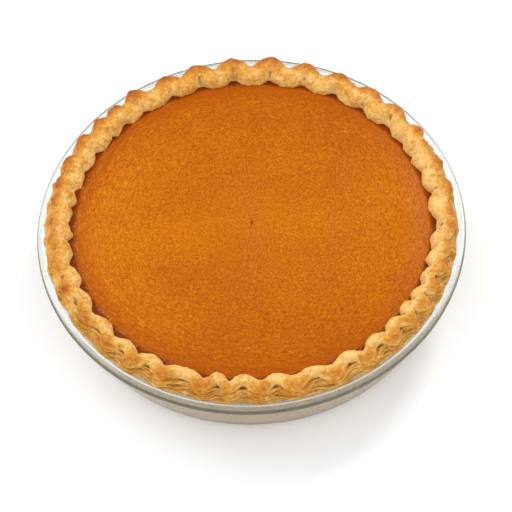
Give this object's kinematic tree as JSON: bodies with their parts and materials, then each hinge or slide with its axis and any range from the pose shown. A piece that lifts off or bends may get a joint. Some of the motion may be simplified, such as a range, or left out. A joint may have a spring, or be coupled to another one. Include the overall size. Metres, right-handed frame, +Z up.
{
  "type": "pumpkin pie",
  "caption": "Whole baked pumpkin pie with a hand-fluted golden crust, in its own clear glass pie dish.",
  "frame": {"origin": "centre of the dish's underside, on the surface it stands on", "axes": "+Z up through the middle of the pie, +X to the right and -Y to the front as the pie is usually looked at"},
  "size_m": [0.246, 0.246, 0.0556],
  "materials": {
    "clear_glass": "clear pressed glass with a faint grey-green tint, polished",
    "baked_pastry": "baked shortcrust, pale golden with browned crests, matt with a faint butter sheen",
    "baked_custard": "set pumpkin custard, deep orange, satin skin with fine wrinkles"
  },
  "bodies": {
    "root": {"glass_dish": "clear_glass", "crust": "baked_pastry", "filling": "baked_custard"}
  },
  "joints": []
}
